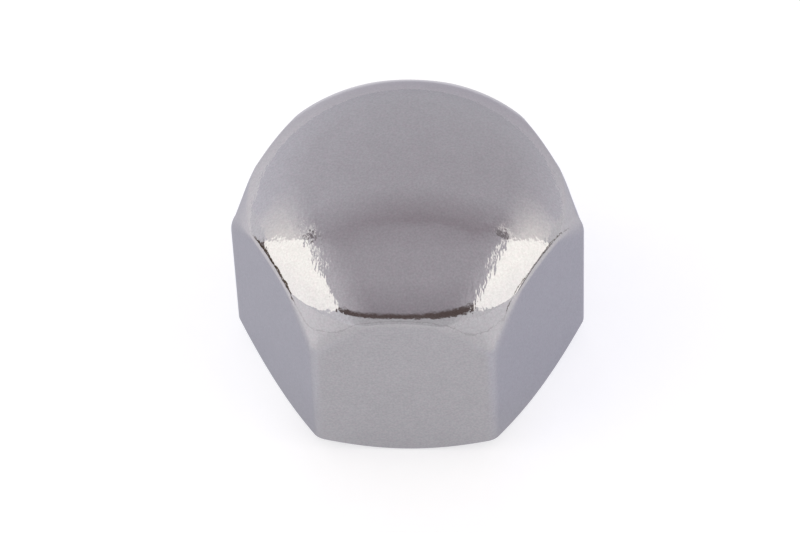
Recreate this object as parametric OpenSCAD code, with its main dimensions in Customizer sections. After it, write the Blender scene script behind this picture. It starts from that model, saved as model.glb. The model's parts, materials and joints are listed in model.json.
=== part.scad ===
// Low-form cap nut: a hexagon blank with a domed crown and a blind tapped hole.
// Millimetres. The nut stands on its seating face at z = 0, with the thread axis on +Z,
// and one flat of the hexagon faces -Y.

/* [Hexagon] */
// Width across the flats
across_flats = 17; // [14:0.5:21]
// Rounding radius of the six upright corners
corner_r = 0.75; // [0.3:0.05:1.5]

/* [Crown] */
// Height from the seating face to the top of the crown
total_h = 14; // [11.5:0.5:18]
// Radius of the shallow sphere in the middle of the crown
crown_r = 24; // [18:1:40]
// Radius of the tighter curve that rolls the crown over to its rim
shoulder_r = 6.2; // [5:0.1:8]
// Width of that curve, measured inwards from the rim
shoulder_w = 3.3; // [2.5:0.1:4]
// How far the rim circle stands outside the flats
rim_step = 0.2; // [0.1:0.05:0.4]
// Slope of the corner chamfers below the rim, in degrees from level
corner_slope = 64; // [50:1:75]

/* [Seating face] */
// How far the edge of the seating face lies inside the flats
seat_inset = 0.15; // [0.1:0.05:0.8]
// Slope of the seating face's chamfer, in degrees from level
seat_slope = 35; // [20:1:45]

/* [Thread] */
// Nominal diameter of the thread
thread_d = 10; // [8:1:12]
// Pitch of the thread
thread_pitch = 1.5; // [1:0.25:2]
// How much wider than the thread the countersink is at its mouth
mouth_extra = 0.7; // [0.3:0.1:1.2]
// Full angle of the countersink at the mouth
mouth_angle = 90; // [60:5:120]
// How much wider than the thread the relief groove is
relief_extra = 0.3; // [0.1:0.1:0.8]
// Width of the relief groove at the end of the thread
relief_w = 1.6; // [1:0.1:2.4]
// Full angle of the drill point at the bottom of the hole
drill_angle = 118; // [110:1:140]
// Metal left between the drill point and the top of the crown
crown_wall = 2; // [1.4:0.1:3]

/* [Hidden] */

$fn = 144;
SIDES = 6;
SIDE_ANGLE = 360 / SIDES;
HALF_SIDE = SIDE_ANGLE / 2;
// Depth of an internal metric thread as a share of its pitch, both flanks together
THREAD_DEPTH_SHARE = 1.0825;
// How far a cutting tool runs past the face that it cuts
OVERCUT = 1;
// Steps in each corner rounding and in the shoulder arc
CORNER_STEPS = 6;
SHOULDER_STEPS = 8;

apothem = across_flats / 2;
// Height of the bar that the nut is turned from
stock_h = total_h + OVERCUT;
// Distance from the axis to the centre of each corner rounding, and to the rounding's tip
corner_axis_r = (apothem - corner_r) / cos(HALF_SIDE);
corner_tip_r = corner_axis_r + corner_r;

// Crown profile: sphere from the axis to shoulder_start, shoulder arc from there to rim_r
rim_r = apothem + rim_step;
shoulder_start = rim_r - shoulder_w;
sphere_z = total_h - crown_r;
shoulder_share = shoulder_start / crown_r;
shoulder_axis_r = (crown_r - shoulder_r) * shoulder_share;
shoulder_z = sphere_z + (crown_r - shoulder_r) * sqrt(1 - shoulder_share * shoulder_share);
// Angles of the shoulder arc's two ends, up from level
shoulder_angle = acos(shoulder_share);
rim_angle = acos((rim_r - shoulder_axis_r) / shoulder_r);
rim_z = shoulder_z + shoulder_r * sin(rim_angle);

// The turned blank's section is a little wider than the corner tips, to trim them cleanly
blank_r = corner_tip_r + OVERCUT;
blank_top_z = rim_z - (blank_r - rim_r) * tan(corner_slope);
seat_r = apothem - seat_inset;
blank_bottom_z = (blank_r - seat_r) * tan(seat_slope);

// Hole: countersink, tapping bore, relief groove and drill point
bore_r = (thread_d - THREAD_DEPTH_SHARE * thread_pitch) / 2;
mouth_r = (thread_d + mouth_extra) / 2;
mouth_depth = (mouth_r - bore_r) / tan(mouth_angle / 2);
relief_r = (thread_d + relief_extra) / 2;
hole_tip_z = total_h - crown_wall;
bore_end_z = hole_tip_z - bore_r / tan(drill_angle / 2);
thread_end_z = bore_end_z - relief_w;
relief_chamfer = relief_r - bore_r;

// Points on a circular arc between two angles, both ends included.
function arc_points(centre, r, from, to, steps) = [
    for (step = [0 : steps])
        let (turn = from + (to - from) * step / steps)
            centre + r * [cos(turn), sin(turn)]
];

// Hexagon outline: one rounding arc per corner, joined by the straight sides.
module hexagon_outline() {
    polygon([
        for (i = [0 : SIDES - 1])
            let (axis = SIDE_ANGLE * i)
                each arc_points(corner_axis_r * [cos(axis), sin(axis)], corner_r,
                    axis - HALF_SIDE, axis + HALF_SIDE, CORNER_STEPS)
    ]);
}

// Half section of the turned blank, from the axis outwards. The shoulder's last step runs
// on past its end, so that the crown sphere trims it there and closes the middle.
module blank_section() {
    shoulder = arc_points([shoulder_axis_r, shoulder_z], shoulder_r,
        rim_angle, shoulder_angle, SHOULDER_STEPS);
    last_step = shoulder[SHOULDER_STEPS] - shoulder[SHOULDER_STEPS - 1];
    polygon([
        [0, 0],
        [seat_r, 0],
        [blank_r, blank_bottom_z],
        [blank_r, blank_top_z],
        each [for (i = [0 : SHOULDER_STEPS - 1]) shoulder[i]],
        shoulder[SHOULDER_STEPS] + 2 * last_step,
        [0, stock_h]
    ]);
}

// Half section of the blind hole, from the axis outwards.
module hole_section() {
    polygon([
        [0, -OVERCUT],
        [mouth_r + OVERCUT * tan(mouth_angle / 2), -OVERCUT],
        [bore_r, mouth_depth],
        [bore_r, thread_end_z - relief_chamfer],
        [relief_r, thread_end_z],
        [relief_r, bore_end_z - relief_chamfer],
        [bore_r, bore_end_z],
        [0, hole_tip_z]
    ]);
}

module cap_nut() {
    color([0.72, 0.72, 0.74])
        difference() {
            intersection() {
                linear_extrude(stock_h) hexagon_outline();
                rotate_extrude() blank_section();
                translate([0, 0, sphere_z]) sphere(r = crown_r);
            }
            rotate_extrude() hole_section();
        }
}

cap_nut();
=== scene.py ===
"""Looks of a low-form cap nut: a plated steel hexagon with a domed crown and a blind thread.

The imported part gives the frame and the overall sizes. One surface is worked out on top of it, with
the rolled edges of a polished nut and a true right-hand thread, and it stands for the plain solid.
"""

import json
import logging
import math
from dataclasses import dataclass, field, replace

import bpy
import numpy as np
from mathutils import Matrix, Vector


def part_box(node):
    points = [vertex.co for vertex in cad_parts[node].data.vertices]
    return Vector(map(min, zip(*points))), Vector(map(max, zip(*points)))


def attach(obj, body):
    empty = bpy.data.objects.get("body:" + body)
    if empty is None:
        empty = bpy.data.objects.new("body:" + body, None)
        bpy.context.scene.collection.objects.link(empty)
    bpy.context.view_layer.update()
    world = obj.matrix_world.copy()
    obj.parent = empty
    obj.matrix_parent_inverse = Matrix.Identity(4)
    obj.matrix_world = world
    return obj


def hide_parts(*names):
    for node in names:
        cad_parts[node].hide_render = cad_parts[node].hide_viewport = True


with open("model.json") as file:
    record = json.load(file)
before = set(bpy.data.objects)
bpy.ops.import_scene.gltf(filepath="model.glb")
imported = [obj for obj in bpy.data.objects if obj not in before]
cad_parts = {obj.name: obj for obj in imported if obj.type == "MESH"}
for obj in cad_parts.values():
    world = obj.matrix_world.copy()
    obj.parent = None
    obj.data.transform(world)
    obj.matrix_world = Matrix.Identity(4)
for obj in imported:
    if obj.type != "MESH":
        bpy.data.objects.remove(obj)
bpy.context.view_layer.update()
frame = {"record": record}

LOG = logging.getLogger("cap_nut")
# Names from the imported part's record
NODE = "cap_nut"
BODY = "root"
SLOT = "plated_steel"
# One millimetre and one micrometre, in metres
MM = 0.001
MICROMETRE = 1e-6
# Floors that keep a division from running away
TINY = 1e-9
TINIEST = 1e-12
LEAST_SLOPE = 0.05
LEAST_LEVEL = 1e-4
# Steps that bring a ray onto the surface, and how far the first ray is off the axis, in radians
NEWTON_STEPS = 12
OFF_AXIS = 1e-4
# Wall left between the drill point and the crown's top, in millimetres
CROWN_WALL = 2.0
# Angles from straight up, in degrees
HORIZON = 90.0
STRAIGHT_DOWN = 180.0
# The tent's walls: where across they are darkest, and how far from there they lighten, in degrees
TENT_MIDDLE = 13.0
WALL_RISE = (8.0, 95.0)
# Patterns per metre in the floor's paper
PAPER_SCALE = 900.0
# The stretch in which nearly all of a noise pattern's values lie
MIDDLE = (0.3, 0.7)
# How much the finest parts of a ragged pattern weigh
RAGGED_ROUGH = 0.6
# The camera's sensor, in millimetres, and its nearest view, in metres
SENSOR_WIDTH = 36.0
CLIP_START = 0.01

Colour = tuple[float, float, float]
Span = tuple[float, float]
Socket = bpy.types.NodeSocket
Sockets = bpy.types.bpy_prop_collection
Fed = float | Socket
Hue = Colour | Socket


# ---------------------------------------------------------------------------------------------
# Shape of the nut
# ---------------------------------------------------------------------------------------------


@dataclass
class Side:
    """One bounding surface, sampled at some points.

    Attributes:
        distance: How far each point lies outside the surface, negative inside.
        normal: The surface's outward unit normal nearest to each point.
    """

    distance: np.ndarray
    normal: np.ndarray

    def rolled(self, other: "Side", radius: float | np.ndarray) -> "Side":
        """Cuts this side with another one and rolls the edge between them to a radius.

        Both sides are sunk by the radius. Beside the edge, the distance is the larger of the two.
        Round the edge it is the distance to the line where the sunk sides cross, which follows from
        the two distances and the cosine of the angle between the normals. The radius is then
        taken off again, so the edge comes out as a round of exactly that radius.

        Args:
            other: The side that cuts this one, sampled at the same points.
            radius: Radius of the rolled edge, one number or one for each point.

        Returns:
            The side that bounds what lies inside both.
        """
        here = self.distance + radius
        there = other.distance + radius
        cosine = np.clip(np.sum(self.normal * other.normal, axis=-1), -1.0, 1.0)
        round_edge = (here > there * cosine) & (there > here * cosine) & (here + there > 0.0)
        sine2 = np.maximum(1.0 - cosine**2, TINIEST)
        reach = np.sqrt(np.maximum(here**2 + there**2 - 2.0 * here * there * cosine, 0.0) / sine2)
        reach = np.maximum(reach, TINIEST)
        first = here >= there
        distance = np.where(round_edge, reach, np.where(first, here, there)) - radius
        share_here = np.where(round_edge, (here - there * cosine) / (sine2 * reach), first)
        share_there = np.where(round_edge, (there - here * cosine) / (sine2 * reach), ~first)
        normal = share_here[..., None] * self.normal + share_there[..., None] * other.normal
        return Side(distance, normal / np.linalg.norm(normal, axis=-1, keepdims=True))


@dataclass(frozen=True)
class NutForm:
    """Outer shape of the nut, in millimetres, with its seating face on z = 0.

    Attributes:
        across_flats: Width across the flats, which lie at -90, -30, 30 degrees and so on.
        total_h: Height of the crown's top.
        corner_r: Rounding of the six upright corners.
        crown_r: Radius of the crown's shallow sphere.
        shoulder_r: Radius of the curve that rolls the crown over to its rim.
        shoulder_w: Width of that curve, measured inwards from the rim.
        rim_step: How far the rim circle stands outside the flats.
        corner_slope: Slope of the corner chamfers below the rim, in degrees.
        seat_inset: How far the edge of the seating face lies inside the flats.
        seat_slope: Slope of the chamfer round the seating face, in degrees.
        rim_roll: Radius that polishing leaves on the rim.
        edge_roll: Radius that polishing leaves where crown and flats meet.
        corner_roll: Radius that polishing leaves where the corner chamfers meet the flats.
        roll_fade: Height below the rim over which the one radius grows into the other.
        base_roll: Radius left on the edges at the seating face.
        seam_corner_r: Corner rounding of the line where the crown's die met the hexagon.
        seam_inset: How far that line lies inside the flats.
    """

    across_flats: float
    total_h: float
    corner_r: float = 0.75
    crown_r: float = 24.0
    shoulder_r: float = 6.2
    shoulder_w: float = 3.3
    rim_step: float = 0.2
    corner_slope: float = 64.0
    seat_inset: float = 0.15
    seat_slope: float = 35.0
    rim_roll: float = 0.6
    edge_roll: float = 0.6
    corner_roll: float = 2.0
    roll_fade: float = 1.1
    base_roll: float = 0.25
    seam_corner_r: float = 3.0
    seam_inset: float = 0.16

    def ring(self) -> tuple[float, float, float]:
        """Works out the shoulder's ring, which touches the crown sphere from inside.

        Returns:
            The ring's radius and height at the middle of its section, and the angle from straight
            up at which it meets the sphere.
        """
        start = math.asin((self.across_flats / 2 + self.rim_step - self.shoulder_w) / self.crown_r)
        reach = self.crown_r - self.shoulder_r
        middle_z = self.total_h - self.crown_r
        return reach * math.sin(start), middle_z + reach * math.cos(start), start

    def rim(self) -> tuple[float, float, float]:
        """Returns the rim circle's radius, its height, and the shoulder's lean from up there."""
        ring_r, ring_z, _ = self.ring()
        rim_r = self.across_flats / 2 + self.rim_step
        lean = math.asin((rim_r - ring_r) / self.shoulder_r)
        return rim_r, ring_z + self.shoulder_r * math.cos(lean), math.degrees(lean)

    def crown(self, points: np.ndarray) -> Side:
        """Samples the crown: a sphere on the axis, a ring-shaped shoulder, then a straight cone.

        The shoulder touches the sphere, and past the rim the cone carries on along its tangent.

        Args:
            points: Points, with x, y and z along the last axis.

        Returns:
            The crown's side at those points.
        """
        ring_r, ring_z, start = self.ring()
        rim_r, rim_z, rim_lean = self.rim()
        radius = np.hypot(points[..., 0], points[..., 1])
        lean = np.arctan2(radius - ring_r, points[..., 2] - ring_z)
        on_ring = lean > start
        across = np.where(on_ring, radius - ring_r, radius)
        up = points[..., 2] - np.where(on_ring, ring_z, self.total_h - self.crown_r)
        reach = np.maximum(np.hypot(across, up), TINY)
        distance = reach - np.where(on_ring, self.shoulder_r, self.crown_r)
        curved = Side(distance, self._turned(points, across / reach, up / reach))
        straight = self.cone(points, rim_r, rim_z, rim_lean)
        past = lean > math.radians(rim_lean)
        return Side(
            np.where(past, straight.distance, curved.distance),
            np.where(past[..., None], straight.normal, curved.normal),
        )

    def cone(self, points: np.ndarray, radius: float, height: float, slope: float) -> Side:
        """Samples a cone about the axis.

        Args:
            points: Points, with x, y and z along the last axis.
            radius: Radius of a circle on the cone.
            height: Height of that circle.
            slope: Angle of the cone's outward normal from straight up, in degrees.

        Returns:
            The cone's side at those points.
        """
        out = math.sin(math.radians(slope))
        up = math.cos(math.radians(slope))
        run = np.hypot(points[..., 0], points[..., 1]) - radius
        distance = run * out + (points[..., 2] - height) * up
        flat = np.ones_like(distance)
        return Side(distance, self._turned(points, flat * out, flat * up))

    def flanks(self, points: np.ndarray) -> Side:
        """Samples the hexagon: six flats joined by round corners.

        A point belongs to the flat whose normal is nearest in direction. Between the ends of that
        flat's straight part the distance runs straight to it, and past them it runs to the axis of
        the corner rounding.

        Args:
            points: Points, with x, y and z along the last axis.

        Returns:
            The hexagon's side at those points.
        """
        sixth = math.pi / 3
        turn = np.arctan2(points[..., 1], points[..., 0]) + math.pi / 2
        axis = np.round(turn / sixth) * sixth - math.pi / 2
        out = points[..., 0] * np.cos(axis) + points[..., 1] * np.sin(axis)
        along = points[..., 1] * np.cos(axis) - points[..., 0] * np.sin(axis)
        inner = self.across_flats / 2 - self.corner_r
        past = np.maximum(np.abs(along) - inner * math.tan(math.pi / 6), 0.0)
        reach = np.maximum(np.hypot(out - inner, past), TINY)
        straight = past == 0.0
        distance = np.where(straight, out - inner, reach) - self.corner_r
        lean = np.where(straight, 0.0, np.arctan2(past, out - inner)) * np.sign(along)
        angle = axis + lean
        normal = np.stack([np.cos(angle), np.sin(angle), np.zeros_like(angle)], axis=-1)
        return Side(distance, normal)

    def outside(self, points: np.ndarray) -> Side:
        """Samples the whole outside: crown, corner chamfers, flats and the chamfered base.

        Args:
            points: Points, with x, y and z along the last axis.

        Returns:
            The outside at those points.
        """
        rim_r, rim_z, _ = self.rim()
        top = self.crown(points).rolled(self.cone(points, rim_r, rim_z, self.corner_slope), self.rim_roll)
        seat_r = self.across_flats / 2 - self.seat_inset
        chamfer = self.cone(points, seat_r, 0.0, STRAIGHT_DOWN - self.seat_slope)
        base = self.cone(points, 0.0, 0.0, STRAIGHT_DOWN).rolled(chamfer, self.base_roll)
        below = np.clip((rim_z - points[..., 2]) / self.roll_fade, 0.0, 1.0)
        roll = self.edge_roll + (self.corner_roll - self.edge_roll) * below * below * (3.0 - 2.0 * below)
        return self.flanks(points).rolled(top, roll).rolled(base, self.base_roll)

    def seam(self, points: np.ndarray) -> np.ndarray:
        """Measures how far points lie outside the line that the crown's die left.

        The line follows a hexagon with the same flats, rounder corners and a small inset.

        Args:
            points: Points, with x, y and z along the last axis.

        Returns:
            The distances, negative towards the axis.
        """
        outline = replace(self, corner_r=self.seam_corner_r)
        return outline.flanks(points).distance + self.seam_inset

    @staticmethod
    def _turned(points: np.ndarray, out: np.ndarray, up: np.ndarray) -> np.ndarray:
        """Turns a direction in the section plane into space, at each point's own angle.

        Args:
            points: Points that give the angle about the axis.
            out: Part of the direction that points away from the axis.
            up: Part of the direction that points up.

        Returns:
            Unit vectors.
        """
        radius = np.maximum(np.hypot(points[..., 0], points[..., 1]), TINIEST)
        return np.stack([out * points[..., 0] / radius, out * points[..., 1] / radius, up], axis=-1)


@dataclass(frozen=True)
class HoleForm:
    """The blind tapped hole, in millimetres, measured up from the seating face.

    Attributes:
        bore_r: Radius of the tapping bore, which is the crest of the thread.
        tip_z: Height of the drill point.
        thread_d: Nominal diameter of the thread.
        pitch: Pitch of the thread.
        mouth_extra: How much wider than the thread the countersink is at its mouth.
        relief_extra: How much wider than the thread the relief groove is.
        relief_w: Width of the relief groove.
        drill_angle: Full angle of the drill point, in degrees.
        break_roll: Radius left on the edges inside.
    """

    bore_r: float
    tip_z: float
    thread_d: float = 10.0
    pitch: float = 1.5
    mouth_extra: float = 0.7
    relief_extra: float = 0.3
    relief_w: float = 1.6
    drill_angle: float = 118.0
    break_roll: float = 0.12

    def corners(self, start_r: float) -> np.ndarray:
        """Lists the corners of the hole's section, from the seating face to the drill point.

        Args:
            start_r: Radius on the seating face at which the section starts.

        Returns:
            Corners as radius and height.
        """
        mouth_r = (self.thread_d + self.mouth_extra) / 2
        relief_r = (self.thread_d + self.relief_extra) / 2
        bore_end = self.tip_z - self.bore_r / math.tan(math.radians(self.drill_angle / 2))
        thread_end = bore_end - self.relief_w
        slope = relief_r - self.bore_r
        return np.array(
            [
                (start_r, 0.0),
                (mouth_r, 0.0),
                (self.bore_r, mouth_r - self.bore_r),
                (self.bore_r, thread_end - slope),
                (relief_r, thread_end),
                (relief_r, bore_end - slope),
                (self.bore_r, bore_end),
                (0.0, self.tip_z),
            ]
        )

    def section(self, start_r: float, steps: int = 12) -> np.ndarray:
        """Rolls each inner corner of the section to a small arc.

        The arc touches both straights at the roll radius times the tangent of half the turn, and
        its points follow from turning the first straight's normal about the arc's centre.

        Args:
            start_r: Radius on the seating face at which the section starts.
            steps: Steps in each arc.

        Returns:
            The section's points as radius and height.
        """
        corners = self.corners(start_r)
        parts = [corners[:1]]
        for before, corner, after in zip(corners[:-2], corners[1:-1], corners[2:]):
            first = (corner - before) / np.linalg.norm(corner - before)
            second = (after - corner) / np.linalg.norm(after - corner)
            turn = math.atan2(first[0] * second[1] - first[1] * second[0], float(first @ second))
            reach = self.break_roll * math.tan(abs(turn) / 2)
            side = math.copysign(1.0, turn)
            normal = side * np.array([-first[1], first[0]])
            centre = corner - reach * first + self.break_roll * normal
            angle = np.linspace(0.0, turn, steps + 1)
            spoke = -self.break_roll * normal
            parts.append(
                centre
                + np.stack(
                    [
                        spoke[0] * np.cos(angle) - spoke[1] * np.sin(angle),
                        spoke[0] * np.sin(angle) + spoke[1] * np.cos(angle),
                    ],
                    axis=-1,
                )
            )
        parts.append(corners[-1:])
        return np.concatenate(parts)

    def threaded(self, radius: np.ndarray, height: np.ndarray, angle: np.ndarray) -> np.ndarray:
        """Cuts the right-hand thread into the bore.

        The groove climbs by one pitch a turn. Its root is an eighth of the pitch wide, and its
        flanks lean at 30 degrees from square, so from the root's edge the wall comes in by the
        square root of three for each step along the axis, until it reaches the bore.

        Args:
            radius: Radius of the plain section.
            height: Height above the seating face.
            angle: Angle about the axis.

        Returns:
            The radius with the thread cut in.
        """
        phase = height / self.pitch - angle / (2 * math.pi)
        off = np.abs(phase - np.floor(phase) - 0.5) * self.pitch
        root = self.thread_d / 2
        wall = root - math.sqrt(3.0) * np.maximum(off - self.pitch / 16, 0.0)
        relief_end = self.corners(radius.max())[4, 1]
        cut = np.maximum(radius, np.clip(wall, self.bore_r, root))
        return np.where(height < relief_end, cut, radius)


def spread(points: np.ndarray, normals: np.ndarray, count: int, step: float, turn: float) -> np.ndarray:
    """Finds where to put rows along curves so that bends get their share.

    Each stretch weighs its length over one step plus its turn over one turn, and the rows split
    the running total of each curve into equal parts.

    Args:
        points: Dense points, one curve per row of the array.
        normals: Unit normals at those points.
        count: How many rows each curve gets, ends included.
        step: Length that weighs one.
        turn: Turn that weighs one, in radians.

    Returns:
        For each curve, the fractional indices of its rows in the dense points.
    """
    length = np.linalg.norm(np.diff(points, axis=1), axis=-1)
    bend = np.linalg.norm(np.diff(normals, axis=1), axis=-1)
    total = np.cumsum(length / step + bend / turn, axis=1)
    total = np.concatenate([np.zeros((len(total), 1)), total], axis=1)
    wanted = np.linspace(0.0, 1.0, count)[None, :] * total[:, -1:]
    places = np.arange(total.shape[1])
    return np.stack([np.interp(row, curve, places) for row, curve in zip(wanted, total)])


@dataclass
class NutSurface:
    """The nut's whole surface as one grid of rows and columns, closed at both ends of the axis.

    Attributes:
        form: The outside.
        hole: The inside.
        middle_z: Height on the axis from which the outside is looked at, in millimetres.
        start_r: Radius on the seating face where the outside hands over to the hole.
        columns_per_side: Columns on each sixth of the hexagon.
        rows_outside: Rows from the crown's top to the seating face.
        rows_inside: Rows from the seating face to the drill point.
        dense: Points along a curve before its rows are chosen.
        column_step, row_step: Lengths that weigh one when columns and outside rows are spread.
        thread_step, plain_step: The same along the hole's section, with and without thread.
        bend_step, hole_bend: Turns that weigh one outside and inside, in degrees.
    """

    form: NutForm
    hole: HoleForm
    middle_z: float = 6.5
    start_r: float = 6.2
    columns_per_side: int = 52
    rows_outside: int = 128
    rows_inside: int = 132
    dense: int = 480
    column_step: float = 0.35
    row_step: float = 0.3
    thread_step: float = 0.085
    plain_step: float = 0.45
    bend_step: float = 4.0
    hole_bend: float = 12.0

    def cast(self, angle: np.ndarray, lift: np.ndarray) -> tuple[np.ndarray, np.ndarray]:
        """Walks out from the middle until each ray meets the outside.

        The outside is convex, so Newton's steps from beyond it close in from one side.

        Args:
            angle: Angle of each ray about the axis.
            lift: Angle of each ray above level.

        Returns:
            Points on the outside, and their normals.
        """
        ray = np.stack(
            [np.cos(angle) * np.cos(lift), np.sin(angle) * np.cos(lift), np.sin(lift)], axis=-1
        )
        middle = np.array([0.0, 0.0, self.middle_z])
        reach = np.full(angle.shape, self.form.total_h)
        for _ in range(NEWTON_STEPS):
            side = self.form.outside(middle + reach[..., None] * ray)
            slope = np.maximum(np.sum(side.normal * ray, axis=-1), LEAST_SLOPE)
            reach = reach - side.distance / slope
        points = middle + reach[..., None] * ray
        return points, self.form.outside(points).normal

    def columns(self) -> np.ndarray:
        """Spreads the columns round the hexagon, closer together at its corners.

        Returns:
            Angles about the axis, the last one short of a full turn.
        """
        sixth = math.pi / 3
        dense = np.linspace(0.0, sixth, self.dense)[None, :] - math.pi / 2
        points, normals = self.cast(dense, np.zeros_like(dense))
        bend = math.radians(self.bend_step)
        places = spread(points, normals, self.columns_per_side + 1, self.column_step, bend)
        side = np.interp(places[0], np.arange(self.dense), dense[0])[:-1]
        return (side[None, :] + sixth * np.arange(6)[:, None]).ravel()

    def outside_rows(self, angle: np.ndarray) -> tuple[np.ndarray, np.ndarray]:
        """Works out the outside's rows, from the crown down to the seating face.

        Args:
            angle: Angle of each column.

        Returns:
            Points and normals, one line of the arrays per row.
        """
        low = -math.atan2(self.middle_z, self.start_r)
        lift = np.linspace(math.pi / 2 - OFF_AXIS, low, self.dense)
        every = np.broadcast_to(lift, (len(angle), self.dense))
        points, normals = self.cast(np.broadcast_to(angle[:, None], every.shape), every)
        bend = math.radians(self.bend_step)
        places = spread(points, normals, self.rows_outside + 1, self.row_step, bend)
        chosen = np.interp(places, np.arange(self.dense), lift)[:, 1:]
        points, normals = self.cast(np.broadcast_to(angle[:, None], chosen.shape), chosen)
        return points.transpose(1, 0, 2), normals.transpose(1, 0, 2)

    def inside_rows(self, angle: np.ndarray) -> np.ndarray:
        """Works out the hole's rows, from the seating face to just below the drill point.

        Args:
            angle: Angle of each column.

        Returns:
            Points, one line of the array per row.
        """
        path = self.hole.section(self.start_r)
        length = np.concatenate([[0.0], np.cumsum(np.linalg.norm(np.diff(path, axis=0), axis=-1))])
        fine = np.linspace(0.0, length[-1], self.dense * 4)
        line = np.stack([np.interp(fine, length, path[:, 0]), np.interp(fine, length, path[:, 1])], axis=-1)
        ahead = np.gradient(line, axis=0)
        ahead = ahead / np.linalg.norm(ahead, axis=-1, keepdims=True)
        thread_top = self.hole.corners(self.start_r)[4, 1]
        tapped = (line[:, 1] > 0.0) & (line[:, 1] < thread_top)
        step = np.where(tapped, self.thread_step, self.plain_step)
        weight = np.linalg.norm(np.diff(line, axis=0), axis=-1) / step[1:]
        weight = weight + np.linalg.norm(np.diff(ahead, axis=0), axis=-1) / math.radians(self.hole_bend)
        total = np.concatenate([[0.0], np.cumsum(weight)])
        wanted = np.linspace(0.0, total[-1], self.rows_inside + 2)[1:-1]
        radius = np.interp(wanted, total, line[:, 0])[:, None]
        height = np.interp(wanted, total, line[:, 1])[:, None]
        plain = np.broadcast_to(radius, (len(wanted), len(angle)))
        cut = self.hole.threaded(plain, height, angle[None, :])
        height = np.broadcast_to(height, cut.shape)
        return np.stack([cut * np.cos(angle), cut * np.sin(angle), height], axis=-1)

    def build(self) -> tuple[np.ndarray, np.ndarray, np.ndarray]:
        """Joins outside and inside into one closed surface.

        Rows and columns make four-sided faces, and a point on the axis closes each end with a fan.
        The hole's normals are the cross products of its grid lines.

        Returns:
            Vertices in metres, normals, and faces as rows of four indices, with the fans' last
            index repeated.
        """
        angle = self.columns()
        outside, out_normals = self.outside_rows(angle)
        inside = self.inside_rows(angle)
        whole = np.concatenate([outside[-1:], inside])
        down = np.gradient(whole, axis=0)
        round_axis = np.roll(whole, -1, axis=1) - np.roll(whole, 1, axis=1)
        in_normals = np.cross(down, round_axis)[1:]
        in_normals = in_normals / np.maximum(np.linalg.norm(in_normals, axis=-1, keepdims=True), TINY)
        grid = np.concatenate([outside, inside])
        rows, columns = grid.shape[:2]
        top = np.array([[0.0, 0.0, self.form.total_h]])
        tip = np.array([[0.0, 0.0, self.hole.tip_z]])
        vertices = np.concatenate([top, grid.reshape(-1, 3), tip]) * MM
        up = np.array([[0.0, 0.0, 1.0]])
        normals = np.concatenate([up, out_normals.reshape(-1, 3), in_normals.reshape(-1, 3), -up])
        row, column = np.meshgrid(np.arange(rows - 1), np.arange(columns), indexing="ij")
        here = 1 + row * columns + column
        beside = 1 + row * columns + (column + 1) % columns
        quads = np.stack([here, here + columns, beside + columns, beside], axis=-1).reshape(-1, 4)
        ends = np.arange(columns)
        first = 1 + ends
        first_beside = 1 + (ends + 1) % columns
        last = first + (rows - 1) * columns
        last_beside = first_beside + (rows - 1) * columns
        top_fan = np.stack([np.zeros_like(ends), first, first_beside, first_beside], axis=-1)
        tip_index = np.full_like(ends, len(vertices) - 1)
        tip_fan = np.stack([tip_index, last_beside, last, last], axis=-1)
        return vertices, normals, np.concatenate([quads, top_fan, tip_fan])


# ---------------------------------------------------------------------------------------------
# Shader wiring
# ---------------------------------------------------------------------------------------------


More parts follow.
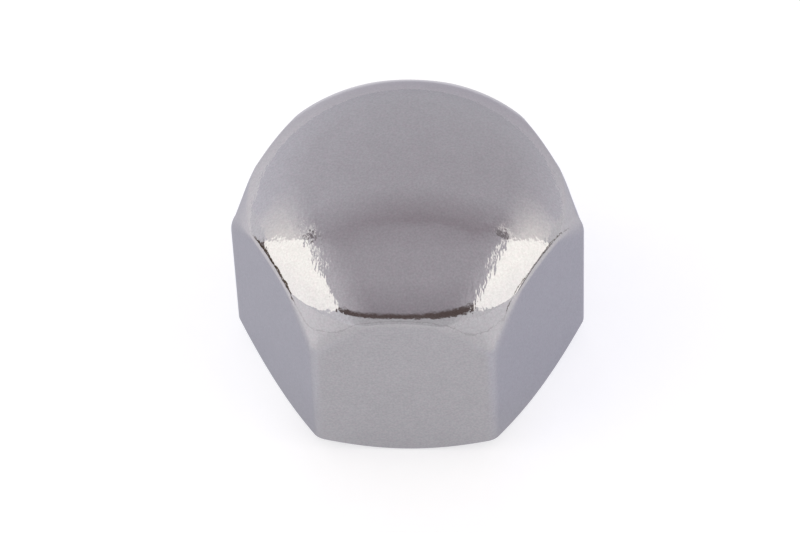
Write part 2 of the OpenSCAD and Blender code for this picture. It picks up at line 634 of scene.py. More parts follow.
class Wiring:
    """Adds nodes to one node tree and joins them up."""

    def __init__(self, tree: bpy.types.NodeTree) -> None:
        """Starts on an empty tree.

        Args:
            tree: The node tree to fill.
        """
        self.tree = tree
        tree.nodes.clear()

    def node(self, kind: str, inputs: dict | None = None, **settings: str | bool) -> bpy.types.Node:
        """Adds a node, sets it up and feeds its inputs.

        Args:
            kind: Blender's name for the node.
            inputs: Socket name or index to a value or to another node's output.
            **settings: Properties of the node itself.

        Returns:
            The new node.
        """
        made = self.tree.nodes.new(kind)
        for name, value in settings.items():
            setattr(made, name, value)
        for name, value in (inputs or {}).items():
            if isinstance(value, Socket):
                self.tree.links.new(value, made.inputs[name])
            else:
                made.inputs[name].default_value = value
        return made

    def math(self, operation: str, *values: Fed, clamp: bool = False) -> Socket:
        """Adds a Math node.

        Args:
            operation: Blender's name for the operation.
            *values: Numbers or sockets, one for each input.
            clamp: Whether the result is held between 0 and 1.

        Returns:
            The node's output.
        """
        made = self.node("ShaderNodeMath", dict(enumerate(values)), operation=operation, use_clamp=clamp)
        return made.outputs[0]

    def ramp(self, value: Fed, low: float, high: float, start: float = 0.0, end: float = 1.0) -> Socket:
        """Eases from one number to another while a value passes from low to high.

        Args:
            value: Socket to read.
            low: Value at which the result is start.
            high: Value at which the result is end.
            start: Result up to low.
            end: Result from high on.

        Returns:
            The eased number.
        """
        made = self.node(
            "ShaderNodeMapRange",
            {"Value": value, "From Min": low, "From Max": high, "To Min": start, "To Max": end},
            interpolation_type="SMOOTHSTEP",
        )
        return made.outputs["Result"]

    def linear(self, value: Fed, low: float, high: float, start: float = 0.0, end: float = 1.0) -> Socket:
        """Goes straight from one number to another while a value passes from low to high.

        Args:
            value: Socket to read.
            low: Value at which the result is start.
            high: Value at which the result is end.
            start: Result up to low.
            end: Result from high on.

        Returns:
            The number.
        """
        eased = self.ramp(value, low, high, start, end)
        eased.node.interpolation_type = "LINEAR"
        return eased

    def times(self, *values: Fed) -> Socket:
        """Returns the product of two or more numbers or sockets."""
        product = values[0]
        for value in values[1:]:
            product = self.math("MULTIPLY", product, value)
        return product

    def apart(self, value: Fed, middle: float) -> Socket:
        """Returns how far a value is from a middle, either way."""
        return self.math("ABSOLUTE", self.math("SUBTRACT", value, middle))

    def window(self, value: Fed, rise: Span, fall: Span) -> Socket:
        """Returns a mask that rises over one span of a value and falls over another."""
        return self.times(self.ramp(value, *rise), self.ramp(value, *fall))

    def length(self, first: Fed, second: Fed) -> Socket:
        """Returns the length of a step of first one way and second at right angles to it."""
        squares = self.math("ADD", self.math("MULTIPLY", first, first), self.math("MULTIPLY", second, second))
        return self.math("SQRT", squares)

    def grey(self, value: Fed) -> Socket:
        """Makes a grey from one number."""
        made = self.node("ShaderNodeCombineColor", {0: value, 1: value, 2: value})
        return made.outputs[0]

    def mix(self, share: Fed, first: Hue, second: Hue, blend: str = "MIX") -> Socket:
        """Mixes two colours.

        Args:
            share: How much of the second colour there is.
            first: Colour or socket.
            second: Colour or socket.
            blend: Blender's name for the way of mixing.

        Returns:
            The mixed colour.
        """
        made = self.node("ShaderNodeMix", data_type="RGBA", blend_type=blend)
        for index, value in ((0, share), (6, first), (7, second)):
            if isinstance(value, Socket):
                self.tree.links.new(value, made.inputs[index])
            else:
                made.inputs[index].default_value = value if index == 0 else (*value, 1.0)
        return made.outputs[2]

    def noise(self, vector: Socket, scale: float, detail: float, roughness: float = 0.5) -> Socket:
        """Adds a noise pattern and returns its value, about 0.5 on average."""
        made = self.node(
            "ShaderNodeTexNoise",
            {"Vector": vector, "Scale": scale, "Detail": detail, "Roughness": roughness},
        )
        return made.outputs["Fac"]


# ---------------------------------------------------------------------------------------------
# Finish
# ---------------------------------------------------------------------------------------------


@dataclass(frozen=True)
class Grain:
    """Strengths and sizes of the plating's fine pattern. A scale is in patterns per metre.

    Attributes:
        grain_scale, grain_noise, grain_tone: The satin grain, and how far it shifts the tone.
        cloud_scale, cloud_tone: Slow clouds of tone.
        pink_scale, pink_noise, pink, pink_share: Pink specks, and their factor on colour.
        ripple_scale, ripple_stretch, ripple_height: Ripples drawn out away from the crown's top.
        fleck_scale, fleck_height, fleck_more: Small unevenness, on the crown and past its rim, and
            what the ripples add to it.
        swell_scale, swell_height: Long soft unevenness.
        grain_height: Height of the grain.
        patch_scale, patch_noise, patch_low: Patches of strong ripples, and their least strength.
        across, across_low: Distances sideways over which the ripples grow from a low strength.
        shoulder_r, shoulder_z: Radii and heights over which the ripples start, in metres.
        rim_r: Radii over which the flecks change, in metres.
    """

    grain_scale: float = 8500.0
    grain_noise: Span = (0.25, 0.75)
    grain_tone: float = 0.075
    cloud_scale: float = 900.0
    cloud_tone: float = 0.015
    pink_scale: float = 5200.0
    pink_noise: Span = (0.35, 0.75)
    pink: Colour = (1.035, 0.975, 1.0)
    pink_share: float = 0.5
    ripple_scale: float = 3300.0
    ripple_stretch: Colour = (1.0, 0.38, 0.38)
    ripple_height: float = 15.0
    fleck_scale: float = 3600.0
    fleck_height: Span = (1.3, 2.6)
    fleck_more: float = 5.0
    swell_scale: float = 520.0
    swell_height: float = 4.0
    grain_height: float = 0.5
    patch_scale: float = 420.0
    patch_noise: Span = (0.42, 0.6)
    patch_low: float = 0.5
    across: Span = (0.0020, 0.0046)
    across_low: float = 0.06
    shoulder_r: Span = (0.0046, 0.0062)
    shoulder_z: Span = (0.0100, 0.0112)
    rim_r: Span = (0.0074, 0.0082)


@dataclass(frozen=True)
class SeamMark:
    """The line where the crown's die met the flats: a fine groove that holds residue.

    Attributes:
        wander_scale, wander_rough, wander: How the line wanders, in millimetres either way.
        ragged_scale, ragged: How its width varies, as a factor.
        half, left_more: Half its width in general, and what the left adds to that, in millimetres.
        depth, full: Depth of the groove, in micrometres, and the share of it that is all dark.
        gap_scale, gap_noise, gap_share: The gaps on the right, and how dark the line is between.
        front_share: How dark the line is round the front.
        stain: Colour of the residue.
        left_x, left_y, right_x, right_y, front_y, low_z: Where each stretch of the line starts,
            as the places between which it fades in, in metres.
    """

    left_x: Span = (-0.0056, -0.0061)
    left_y: Span = (-0.0022, -0.0030)
    right_x: Span = (0.0052, 0.0058)
    right_y: Span = (-0.0010, -0.0018)
    front_y: Span = (-0.0040, -0.0055)
    low_z: Span = (0.0095, 0.0102)
    wander_scale: float = 750.0
    wander_rough: float = 0.85
    wander: float = 0.06
    ragged_scale: float = 2900.0
    ragged: Span = (0.3, 1.4)
    half: float = 0.026
    left_more: float = 0.032
    depth: float = 1.5
    full: float = 0.55
    gap_scale: float = 1500.0
    gap_noise: Span = (0.38, 0.52)
    gap_share: float = 0.75
    front_share: float = 0.17
    stain: Colour = (0.06, 0.045, 0.036)

    def build(self, w: Wiring, place: Socket, axes: Sockets) -> tuple[Socket, Socket]:
        """Works out the line from the mesh's "seam" distances.

        The line is strongest where the wandering distance is nought, and its darkness depends on
        the side of the nut.

        Args:
            w: The material's wiring.
            place: The place on the nut, in metres.
            axes: The same as three sockets.

        Returns:
            How deep the groove is and how dark the residue is, both from 0 to 1.
        """
        seam = w.node("ShaderNodeAttribute", attribute_name="seam").outputs["Fac"]
        wander = w.noise(place, self.wander_scale, 4.0, self.wander_rough)
        wander = w.linear(wander, *MIDDLE, -self.wander, self.wander)
        off = w.math("ABSOLUTE", w.math("ADD", seam, wander))
        left = w.times(w.ramp(axes[0], *self.left_x), w.ramp(axes[1], *self.left_y))
        right = w.times(w.ramp(axes[0], *self.right_x), w.ramp(axes[1], *self.right_y))
        front = w.ramp(axes[1], *self.front_y)
        ragged = w.noise(place, self.ragged_scale, 2.0, RAGGED_ROUGH)
        ragged = w.linear(ragged, *MIDDLE, *self.ragged)
        half = w.times(w.math("ADD", w.times(left, self.left_more), self.half), ragged)
        line = w.math("SUBTRACT", 1.0, w.math("DIVIDE", off, half), clamp=True)
        groove = w.times(line, w.ramp(axes[2], *self.low_z))
        gaps = w.ramp(w.noise(place, self.gap_scale, 1.0), *self.gap_noise, 0.0, self.gap_share)
        held = w.math("MAXIMUM", w.times(right, gaps), w.times(front, self.front_share))
        held = w.math("MAXIMUM", left, held)
        return groove, w.times(w.ramp(groove, 0.0, self.full), held)


@dataclass(frozen=True)
class PlatedFinish:
    """Bright plating over polished steel, duller in the tapped hole where it hardly reaches.

    Attributes:
        name: The material's name.
        colour: Colour of the plating.
        rim_tint: Tint of the plating seen nearly edge on.
        roughness: Roughness of the plating away from marks.
        cloud_rough: How far the clouds take the roughness down and up.
        stain_rough: What the residue adds to the roughness.
        hole_colour, hole_rough: Colour of the hole, and what it adds to the roughness.
        hole_r, hole_z: Radii and heights, in metres, over which the hole's finish starts.
        grain: The fine pattern.
        mark: The line in the plating.
    """

    name: str = SLOT
    colour: Colour = (0.425, 0.42, 0.439)
    rim_tint: Colour = (0.7, 0.7, 0.74)
    roughness: float = 0.055
    cloud_rough: Span = (-0.015, 0.02)
    stain_rough: float = 0.3
    hole_colour: Colour = (0.27, 0.26, 0.255)
    hole_rough: float = 0.25
    hole_r: Span = (0.0053, 0.0050)
    hole_z: Span = (0.0121, 0.0119)
    grain: Grain = field(default_factory=Grain)
    mark: SeamMark = field(default_factory=SeamMark)

    def build(self) -> bpy.types.Material:
        """Builds the plated material.

        Returns:
            The material.
        """
        material = bpy.data.materials.new(self.name)
        material.use_nodes = True
        w = Wiring(material.node_tree)
        place = w.node("ShaderNodeTexCoord").outputs["Object"]
        axes = w.node("ShaderNodeSeparateXYZ", {0: place}).outputs
        radius = w.length(axes[0], axes[1])
        grain = w.noise(place, self.grain.grain_scale, 1.0)
        cloud = w.noise(place, self.grain.cloud_scale, 2.0)
        groove, dark = self.mark.build(w, place, axes)
        inside = w.times(w.ramp(radius, *self.hole_r), w.ramp(axes[2], *self.hole_z))
        colour = w.mix(dark, self._tone(w, place, grain, cloud), self.mark.stain)
        rough = w.linear(cloud, *MIDDLE, *(self.roughness + part for part in self.cloud_rough))
        rough = w.math("ADD", rough, w.times(dark, self.stain_rough))
        rough = w.math("ADD", rough, w.times(inside, self.hole_rough))
        height = self._height(w, place, axes, radius, grain)
        height = w.math("SUBTRACT", height, w.times(groove, self.mark.depth))
        bump = w.node("ShaderNodeBump", {"Height": height, "Strength": 1.0, "Distance": MICROMETRE})
        made = {
            "Base Color": w.mix(inside, colour, self.hole_colour),
            "Metallic": 1.0,
            "Roughness": rough,
            "Normal": bump.outputs[0],
            "Specular Tint": (*self.rim_tint, 1.0),
        }
        shader = w.node("ShaderNodeBsdfPrincipled", made)
        w.node("ShaderNodeOutputMaterial", {"Surface": shader.outputs["BSDF"]})
        return material

    def _tone(self, w: Wiring, place: Socket, grain: Socket, cloud: Socket) -> Socket:
        """Shifts the plating's colour by the grain and the clouds, and turns specks of it pink.

        Args:
            w: The material's wiring.
            place: The place on the nut, in metres.
            grain: The satin grain.
            cloud: The clouds.

        Returns:
            The colour.
        """
        form = self.grain
        grainy = w.linear(grain, *form.grain_noise, -form.grain_tone, form.grain_tone)
        cloudy = w.linear(cloud, *MIDDLE, -form.cloud_tone, form.cloud_tone)
        tone = w.math("ADD", w.math("ADD", grainy, cloudy), 1.0)
        colour = w.mix(1.0, self.colour, w.grey(tone), "MULTIPLY")
        pink = w.ramp(w.noise(place, form.pink_scale, 0.0), *form.pink_noise, 0.0, form.pink_share)
        return w.mix(pink, colour, w.mix(1.0, colour, form.pink, "MULTIPLY"))

    def _height(self, w: Wiring, place: Socket, axes: Sockets, radius: Socket, grain: Socket) -> Socket:
        """Adds up the heights of ripples, flecks, swell and grain, in micrometres.

        Polishing leaves the ripples, strongest where the crown turns into its shoulder.

        Args:
            w: The material's wiring.
            place: The place on the nut, in metres.
            axes: The same as three sockets.
            radius: The distance from the axis, in metres.
            grain: The satin grain.

        Returns:
            The height.
        """
        form = self.grain
        drawn = w.node("ShaderNodeMapping", {0: place, "Scale": form.ripple_stretch}).outputs[0]
        ripple = w.noise(drawn, form.ripple_scale, 2.0, RAGGED_ROUGH)
        fleck = w.noise(place, form.fleck_scale, 1.0)
        swell = w.noise(place, form.swell_scale, 1.0)
        across = w.ramp(w.math("ABSOLUTE", axes[0]), *form.across, form.across_low, 1.0)
        patch = w.ramp(w.noise(place, form.patch_scale, 1.0), *form.patch_noise, form.patch_low, 1.0)
        shoulder = w.times(w.ramp(radius, *form.shoulder_r), w.ramp(axes[2], *form.shoulder_z))
        ripples = w.times(across, shoulder, patch)
        flecks = w.ramp(radius, *form.rim_r, *form.fleck_height)
        flecks = w.math("ADD", flecks, w.times(ripples, form.fleck_more))
        height = w.times(ripple, ripples, form.ripple_height)
        height = w.math("ADD", height, w.times(fleck, flecks))
        height = w.math("ADD", height, w.times(swell, form.swell_height))
        return w.math("ADD", height, w.times(grain, form.grain_height))


# ---------------------------------------------------------------------------------------------
# Studio
# ---------------------------------------------------------------------------------------------


@dataclass
class Chart:
    """Where a direction lies on the tent's map, as sockets in degrees.

    Attributes:
        lean: How far it leans from straight up.
        across: How much of that is towards +X.
        front: How much of that is towards -Y.
        side: The size of across.
        past: How far in front of the crease it lies.
    """

    lean: Socket
    across: Socket
    front: Socket
    side: Socket
    past: Socket


@dataclass(frozen=True)
class LightTent:
    """The soft light round the nut, as light and colour by direction.

    Directions are laid out like a map with straight up in the middle. A direction lies as far from
    the middle as it leans from straight up, in degrees: "across" runs towards +X and "front" runs
    towards -Y. Colours are radiances. A pair of numbers is a stretch of degrees in which one
    colour passes into the next, or a mask goes from nothing to all.

    Attributes:
        back, rear: The rear wall low down, and above rear_rise.
        side, wall_foot: The walls left and right, and the lean at which they reach all round.
        crease, crease_at, crease_rise: The crease where wall meets ceiling, and its place.
        crease_bow, bow_limit: How it bows forward with the square of side, up to a limit.
        glow, glow_front, glow_side: The warm glow on the walls on both sides of the crease.
        ceiling_rear, ceiling_front: The ceiling just past the crease, and where that ends.
        ceiling, low_ceiling, ceiling_fall: The ceiling above, and as it falls to the front seam.
        ceiling_side, ceiling_wide, ceiling_share: The ceiling's light sides, about ceiling_mid.
        fold, fold_in, fold_out, fold_half: The dark folds at the crease's ends.
        slit_at, slit_half, slit_in, slit_out, slit_share: Slits of light beside the panels.
        glint_at, glint_half, glint_share: Glints just behind the folds.
        panel, panel_foot, panel_fade: The light panels, and their weaker outer feet.
        panel_in, panel_out, panel_top, panel_end: The panels' four edges.
        panel_bend: How their rear edge bends back with the square of side past panel_bend_at.
        apron, left_apron, right_apron, apron_wide, apron_turn: The pale apron in front.
        apron_edge: Where the apron starts.
        seam, seam_edge, seam_wide: The dark seam between ceiling and apron.
        seam_sag, seam_sag_side: How far the seam sags at that side, with side's fourth power.
        seam_right, seam_drop: Where the seam is deeper on the right, and by how much.
        strip_in, strip_out, strip_top, strip_end, strip_right: The dark strips past the panels.
        strength: Factor on all of it.
    """

    back: Colour = (0.765, 0.757, 0.786)
    rear: Colour = (0.695, 0.671, 0.70)
    rear_rise: Span = (-75.0, -40.0)
    side: Colour = (1.0, 0.99, 1.04)
    wall_foot: Span = (98.0, 125.0)
    crease: Colour = (0.50, 0.452, 0.48)
    crease_at: float = -22.5
    crease_rise: Span = (-11.5, -1.0)
    crease_bow: float = 0.0066
    bow_limit: float = 46.0
    glow: Colour = (1.38, 1.33, 1.25)
    glow_front: Span = (-40.0, -13.0)
    glow_side: Span = (22.0, 58.0)
    ceiling_rear: Colour = (0.57, 0.53, 0.56)
    ceiling_edge: Span = (-0.5, 1.5)
    ceiling_front: Span = (0.0, 9.0)
    ceiling: Colour = (0.655, 0.622, 0.651)
    low_ceiling: Colour = (0.52, 0.48, 0.51)
    ceiling_fall: Span = (12.0, 43.0)
    ceiling_side: Colour = (0.97, 0.94, 0.96)
    ceiling_mid: float = 3.0
    ceiling_wide: Span = (20.0, 42.0)
    ceiling_share: float = 0.75
    fold: Colour = (0.30, 0.27, 0.27)
    fold_in: Span = (24.0, 31.0)
    fold_out: Span = (44.0, 38.0)
    fold_half: Span = (1.7, 0.5)
    slit_at: float = 35.2
    slit_half: Span = (1.3, 0.6)
    slit_in: Span = (-14.0, -10.0)
    slit_out: Span = (8.0, 1.0)
    slit_share: float = 0.8
    glint_at: float = -3.2
    glint_half: Span = (1.2, 0.4)
    glint_share: float = 0.45
    panel: Colour = (1.95, 1.92, 1.76)
    panel_foot: Colour = (1.80, 1.77, 1.66)
    panel_fade: Span = (50.0, 90.0)
    panel_in: Span = (38.4, 39.6)
    panel_out: Span = (78.0, 75.0)
    panel_top: Span = (-13.2, -11.8)
    panel_end: Span = (41.5, 40.0)
    panel_bend: float = 0.0045
    panel_bend_at: float = 40.0
    apron: Colour = (0.77, 0.76, 0.77)
    left_apron: Colour = (1.05, 1.04, 1.06)
    right_apron: Colour = (0.98, 0.97, 0.97)
    apron_wide: Span = (25.0, 41.0)
    apron_turn: Span = (-20.0, 20.0)
    apron_edge: Span = (49.8, 50.3)
    seam: Colour = (0.17, 0.13, 0.12)
    seam_edge: Span = (43.5, 47.0)
    seam_wide: Span = (48.0, 39.0)
    seam_sag_side: float = 38.0
    seam_sag: float = 6.0
    seam_right: Span = (4.0, 30.0)
    seam_drop: float = 3.0
    strip_in: Span = (75.0, 77.0)
    strip_out: Span = (91.0, 88.0)
    strip_top: Span = (-24.0, -18.0)
    strip_end: Span = (27.0, 22.0)
    strip_right: float = 0.6
    strength: float = 1.083

    def build(self) -> None:
        """Builds the world that holds the light."""
        world = bpy.data.worlds.new("light_tent")
        bpy.context.scene.world = world
        world.use_nodes = True
        w = Wiring(world.node_tree)
        at = self._chart(w)
        colour = self._walls(w, at)
        colour = w.mix(w.linear(at.past, *self.ceiling_edge), colour, self._ceiling(w, at))
        colour = self._folds(w, at, colour)
        colour = self._front(w, at, colour)
        back = w.node("ShaderNodeBackground", {"Color": colour, "Strength": self.strength})
        w.node("ShaderNodeOutputWorld", {"Surface": back.outputs[0]})

    def _chart(self, w: Wiring) -> Chart:
        """Lays out the map: each level part of the direction, times lean over level length.

        Args:
            w: The world's wiring.

        Returns:
            Where the direction lies on the map.
        """
        direction = w.node("ShaderNodeTexCoord").outputs["Generated"]
        axes = w.node("ShaderNodeSeparateXYZ", {0: direction}).outputs
        level = w.length(axes[0], axes[1])
        lean = w.math("DEGREES", w.math("ARCTAN2", level, axes[2]))
        share = w.math("DIVIDE", lean, w.math("MAXIMUM", level, LEAST_LEVEL))
        across = w.math("MULTIPLY", axes[0], share)
        front = w.times(axes[1], share, -1.0)
        side = w.math("ABSOLUTE", across)
        bow = w.times(w.math("POWER", w.math("MINIMUM", side, self.bow_limit), 2.0), self.crease_bow)
        past = w.math("SUBTRACT", w.math("SUBTRACT", front, self.crease_at), bow)
        return Chart(lean, across, front, side, past)

    def _walls(self, w: Wiring, at: Chart) -> Socket:
        """Colours the rear wall, lighter low down and to the left, with its glow on both sides.

        Args:
            w: The world's wiring.
            at: Where the direction lies on the map.

        Returns:
            The walls' colour.
        """
        colour = w.mix(w.linear(at.front, *self.rear_rise), self.back, self.rear)
        colour = w.mix(w.ramp(at.lean, *self.wall_foot), colour, self.side)
        colour = w.mix(w.linear(at.past, *self.crease_rise), colour, self.crease)
        colour = w.mix(w.ramp(w.apart(at.across, TENT_MIDDLE), *WALL_RISE), colour, self.side)
        glow = w.times(w.linear(at.front, *self.glow_front), w.ramp(at.side, *self.glow_side))
        return w.mix(glow, colour, self.glow)

    def _ceiling(self, w: Wiring, at: Chart) -> Socket:
        """Colours the ceiling, from the crease to the front seam.

        Args:
            w: The world's wiring.
            at: Where the direction lies on the map.

        Returns:
            The ceiling's colour.
        """
        colour = w.mix(w.linear(at.past, *self.ceiling_front), self.ceiling_rear, self.ceiling)
        colour = w.mix(w.linear(at.front, *self.ceiling_fall), colour, self.low_ceiling)
        wide = w.ramp(w.apart(at.across, self.ceiling_mid), *self.ceiling_wide, 0.0, self.ceiling_share)
        return w.mix(wide, colour, self.ceiling_side)

    def _folds(self, w: Wiring, at: Chart, colour: Socket) -> Socket:
        """Adds the dark folds at the crease's ends, and the slits and glints of light by them.

        Args:
            w: The world's wiring.
            at: Where the direction lies on the map.
            colour: The colour so far.

        Returns:
            The colour with them.
        """
        ends = w.window(at.side, self.fold_in, self.fold_out)
        fold = w.ramp(w.math("ABSOLUTE", at.past), *self.fold_half)
        colour = w.mix(w.times(ends, fold), colour, self.fold)
        slit = w.times(w.ramp(w.apart(at.side, self.slit_at), *self.slit_half), self.slit_share)
        slit = w.times(slit, w.window(at.front, self.slit_in, self.slit_out))
        glint = w.ramp(w.apart(at.past, self.glint_at), *self.glint_half)
        glint = w.times(glint, ends, self.glint_share)
        return w.mix(w.math("MAXIMUM", slit, glint), colour, self.panel)

    def _front(self, w: Wiring, at: Chart, colour: Socket) -> Socket:
        """Adds the seam and the apron in front, the light panels, and the strips beyond them.

        Args:
            w: The world's wiring.
            at: Where the direction lies on the map.
            colour: The colour so far.

        Returns:
            The colour with them.
        """
        sag = w.math("POWER", w.math("DIVIDE", at.side, self.seam_sag_side), 4.0)
        down = w.math("ADD", at.front, w.times(sag, self.seam_sag))
        deep = w.math("ADD", down, w.ramp(at.across, *self.seam_right, 0.0, self.seam_drop))
        seam = w.times(w.ramp(deep, *self.seam_edge), w.ramp(at.side, *self.seam_wide))
        colour = w.mix(seam, colour, self.seam)
        apron = w.mix(w.ramp(at.across, *self.apron_turn), self.left_apron, self.right_apron)
        apron = w.mix(w.ramp(at.side, *self.apron_wide), self.apron, apron)
        colour = w.mix(w.ramp(down, *self.apron_edge), colour, apron)
        bend = w.math("POWER", w.math("SUBTRACT", at.side, self.panel_bend_at), 2.0)
        top = w.ramp(w.math("ADD", at.front, w.times(bend, self.panel_bend)), *self.panel_top)
        panel = w.times(w.window(at.side, self.panel_in, self.panel_out), top)
        panel = w.times(panel, w.ramp(at.front, *self.panel_end))
        fade = w.ramp(w.math("ADD", at.side, at.front), *self.panel_fade)
        colour = w.mix(panel, colour, w.mix(fade, self.panel, self.panel_foot))
        strip = w.window(at.side, self.strip_in, self.strip_out)
        strip = w.times(strip, w.window(at.front, self.strip_top, self.strip_end))
        strip = w.times(strip, w.linear(at.across, *self.apron_turn, 1.0, self.strip_right))
        return w.mix(strip, colour, self.seam)


@dataclass(frozen=True)
class Floor:
    """The pale floor: a sheet that glows with a painted light of its own, dimmed close to the nut as painted
    shade.

    Attributes:
        half: Half its width, in metres.
        drop: How far it lies under the seating face, in metres.
        colour: Its colour.
        fibre: How much darker its darkest fibres are, as a factor.
        lit: Its own painted light in front of the nut and behind it, kept dim there as painted shade of the
            nut.
        left_lit, right_lit: Its own painted light to the left and the right of the nut, brighter than in
            front.
        far_lit, far_right, far_front: The same painted light far off, in general, to the right and in front.
        rear_lit: The same far behind the nut, a dimmer painted light there as painted shade towards the
            tent's rear wall.
        aside: Distances to the side between which lit gives way, in metres.
        reach: Distances between which the near light gives way to the far one, in metres.
        right: Distances to the right over which far_right takes over, in metres.
        ahead: Shares of the direction that face forwards, over which far_front takes over.
        behind, rear_reach: Distances backwards and outwards over which rear_lit takes over.
        straight_share: How much nearer to the far light the sheet is when it is seen straight, and
            not mirrored in the plating.
        roughness, gloss: Its roughness and specular level.
    """

    half: float = 0.6
    drop: float = 0.00002
    colour: Colour = (0.5, 0.5, 0.5)
    fibre: float = 0.985
    lit: Colour = (0.458, 0.46, 0.478)
    left_lit: Colour = (0.53, 0.54, 0.58)
    right_lit: Colour = (0.485, 0.495, 0.56)
    far_lit: Colour = (0.76, 0.755, 0.76)
    far_right: Colour = (0.665, 0.665, 0.675)
    far_front: Colour = (0.49, 0.49, 0.50)
    rear_lit: Colour = (0.43, 0.415, 0.45)
    aside: Span = (0.004, 0.009)
    reach: Span = (0.017, 0.028)
    right: Span = (0.0, 0.02)
    ahead: Span = (0.5, 1.0)
    behind: Span = (0.0, 0.02)
    rear_reach: Span = (0.026, 0.036)
    straight_share: float = 0.36
    roughness: float = 0.8
    gloss: float = 0.2

    def build(self) -> bpy.types.Object:
        """Builds the floor as a flat sheet under the nut.

        Returns:
            The floor's object.
        """
        corner = np.array([(-1.0, -1.0), (1.0, -1.0), (1.0, 1.0), (-1.0, 1.0)]) * self.half
        mesh = bpy.data.meshes.new("floor")
        mesh.from_pydata(np.column_stack([corner, np.full(4, -self.drop)]).tolist(), [], [(0, 1, 2, 3)])
        floor = bpy.data.objects.new("floor", mesh)
        bpy.context.scene.collection.objects.link(floor)
        mesh.materials.append(self._paper())
        return floor

    def _paper(self) -> bpy.types.Material:
        """Builds the sheet's material, which is clear from below so the underside can be seen.

        Returns:
            The material.
        """
        material = bpy.data.materials.new("floor_paper")
        material.use_nodes = True
        w = Wiring(material.node_tree)
        place = w.node("ShaderNodeTexCoord").outputs["Object"]
        axes = w.node("ShaderNodeSeparateXYZ", {0: place}).outputs
        fibre = w.ramp(w.noise(place, PAPER_SCALE, 3.0), *MIDDLE)
        fibre = w.mix(fibre, self.colour, tuple(self.fibre * part for part in self.colour))
        made = {"Base Color": fibre, "Roughness": self.roughness, "Emission Color": self._painted_glow(w, axes)}
        shader = w.node("ShaderNodeBsdfPrincipled", made)
        shader.inputs["Emission Strength"].default_value = 1.0
        shader.inputs["Specular IOR Level"].default_value = self.gloss
        below = w.node("ShaderNodeNewGeometry").outputs["Backfacing"]
        clear = w.node("ShaderNodeBsdfTransparent").outputs[0]
        seen = w.node("ShaderNodeMixShader", {0: below, 1: shader.outputs["BSDF"], 2: clear}).outputs[0]
        w.node("ShaderNodeOutputMaterial", {"Surface": seen})
        return material

    def _painted_glow(self, w: Wiring, axes: Sockets) -> Socket:
        """Grades the sheet's own painted light by place, with painted shade close to the nut and far behind
        it.

        Args:
            w: The material's wiring.
            axes: The place on the sheet, as three sockets in metres.

        Returns:
            The light's colour.
        """
        reach = w.length(axes[0], axes[1])
        unit = w.math("MAXIMUM", reach, LEAST_LEVEL)
        # Painted shade close to the nut, with brighter painted light to its left and right
        lit = w.mix(w.ramp(axes[0], -self.aside[0], -self.aside[1]), self.lit, self.left_lit)
        lit = w.mix(w.ramp(axes[0], *self.aside), lit, self.right_lit)
        far = w.mix(w.ramp(axes[0], *self.right), self.far_lit, self.far_right)
        ahead = w.times(w.math("DIVIDE", axes[1], unit), -1.0)
        far = w.mix(w.ramp(ahead, *self.ahead), far, self.far_front)
        lit = w.mix(w.ramp(reach, *self.reach), lit, far)
        # Painted light: seen straight by the camera, the sheet glows nearer to far_lit than where the plating
        # mirrors it
        straight = w.node("ShaderNodeLightPath").outputs["Is Camera Ray"]
        lit = w.mix(w.times(straight, self.straight_share), lit, self.far_lit)
        across = w.times(w.math("DIVIDE", axes[0], unit), HORIZON)
        wall = w.ramp(w.apart(across, TENT_MIDDLE), *WALL_RISE)
        # Painted shade: the sheet's own light is dimmer far behind the nut, towards the tent's rear wall
        behind = w.times(w.ramp(axes[1], *self.behind), w.ramp(reach, *self.rear_reach))
        return w.mix(w.times(behind, w.math("SUBTRACT", 1.0, wall)), lit, self.rear_lit)


@dataclass(frozen=True)
class Viewpoint:
    """The camera, which looks down on the front of the nut through a long lens.

    Attributes:
        elevation: Angle above level, in degrees.
        turn: How far it stands round towards +X from straight in front, in degrees.
        roll: How far it leans to the right, in degrees.
        distance: Distance to the aim, in millimetres.
        lens: Focal length for a 36 mm sensor, in millimetres.
        aim_z: Height of the aim on the nut's axis, in millimetres.
        shift_right: How far right of the picture's middle the aim lies, in millimetres.
        shift_up: How far above the picture's middle the aim lies, in millimetres.
    """

    elevation: float = 52.8
    turn: float = 3.95
    roll: float = 2.65
    distance: float = 277.0
    lens: float = 225.0
    aim_z: float = 5.95
    shift_right: float = 0.485
    shift_up: float = 0.209

    def build(self) -> bpy.types.Object:
        """Builds the camera and makes it the scene's.

        Returns:
            The camera's object.
        """
        data = bpy.data.cameras.new("camera")
        data.lens = self.lens
        data.sensor_width = SENSOR_WIDTH
        data.clip_start = CLIP_START
        camera = bpy.data.objects.new("camera", data)
        bpy.context.scene.collection.objects.link(camera)
        lift = math.radians(self.elevation)
        ahead = Vector((0.0, math.cos(lift), -math.sin(lift)))
        right = Vector((1.0, 0.0, 0.0))
        up = Vector((0.0, math.sin(lift), math.cos(lift)))
        lean = math.radians(self.roll)
        right, up = right * math.cos(lean) - up * math.sin(lean), right * math.sin(lean) + up * math.cos(lean)
        place = Vector((0.0, 0.0, self.aim_z)) - ahead * self.distance
        place = place - right * self.shift_right - up * self.shift_up
        pose = Matrix((right, up, -ahead)).transposed().to_4x4()
        pose.translation = place * MM
        camera.matrix_world = Matrix.Rotation(math.radians(self.turn), 4, "Z") @ pose
        bpy.context.scene.camera = camera
        return camera


# ---------------------------------------------------------------------------------------------
# The nut
# ---------------------------------------------------------------------------------------------


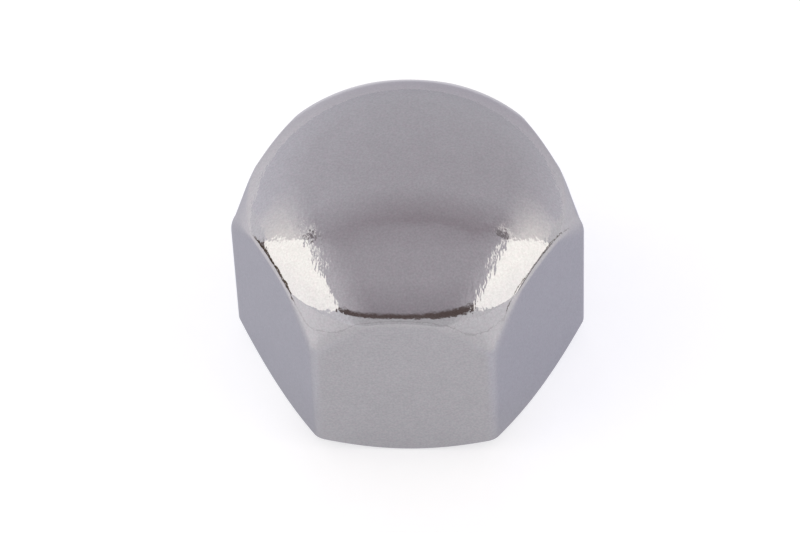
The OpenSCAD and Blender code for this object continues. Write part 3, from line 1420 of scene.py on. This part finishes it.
@dataclass
class CapNut:
    """The whole cap nut: one plated piece.

    Attributes:
        surface: Its surface.
        finish: Its finish.
    """

    surface: NutSurface
    finish: PlatedFinish = field(default_factory=PlatedFinish)

    def build(self) -> bpy.types.Object:
        """Builds the piece, rides it on the body and puts it in the solid's place.

        Returns:
            The piece.
        """
        vertices, normals, faces = self.surface.build()
        mesh = bpy.data.meshes.new("cap_nut_surface")
        kept = np.ones(faces.shape, dtype=bool)
        kept[:, 3] = faces[:, 2] != faces[:, 3]
        starts = np.concatenate([[0], np.cumsum(kept.sum(axis=1))[:-1]])
        corners = faces[kept]
        mesh.vertices.add(len(vertices))
        mesh.vertices.foreach_set("co", vertices.astype(np.float32).ravel())
        mesh.loops.add(len(corners))
        mesh.loops.foreach_set("vertex_index", corners.astype(np.int32))
        mesh.polygons.add(len(faces))
        mesh.polygons.foreach_set("loop_start", starts.astype(np.int32))
        mesh.update(calc_edges=True)
        mesh.validate()
        mesh.shade_smooth()
        mesh.normals_split_custom_set_from_vertices(normals.astype(np.float32))
        seam = mesh.attributes.new("seam", "FLOAT", "POINT")
        seam.data.foreach_set("value", self.surface.form.seam(vertices / MM).astype(np.float32))
        mesh.materials.append(self.finish.build())
        piece = bpy.data.objects.new("plated_cap_nut", mesh)
        bpy.context.scene.collection.objects.link(piece)
        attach(piece, BODY)
        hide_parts(NODE)
        return piece


def packed_forms() -> tuple[NutForm, HoleForm]:
    """Reads the nut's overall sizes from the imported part.

    Returns:
        The forms of the outside and of the hole.
    """
    low, high = (np.array(corner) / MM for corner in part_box(NODE))
    mounts = {mount["name"]: mount for mount in frame["record"]["mounts"]}
    form = NutForm(across_flats=high[1] - low[1], total_h=high[2])
    hole = HoleForm(bore_r=mounts["thread"]["dims"]["r_mm"], tip_z=form.total_h - CROWN_WALL)
    return form, hole


def main() -> None:
    """Builds the camera, the light, the floor and the nut."""
    logging.basicConfig(level=logging.INFO, format="%(message)s")
    scene = bpy.context.scene
    scene.view_settings.view_transform = "Standard"
    Viewpoint().build()
    LightTent().build()
    Floor().build()
    form, hole = packed_forms()
    piece = CapNut(NutSurface(form, hole)).build()
    LOG.info("%s: %d faces", piece.name, len(piece.data.polygons))


if __name__ == "__main__":
    main()
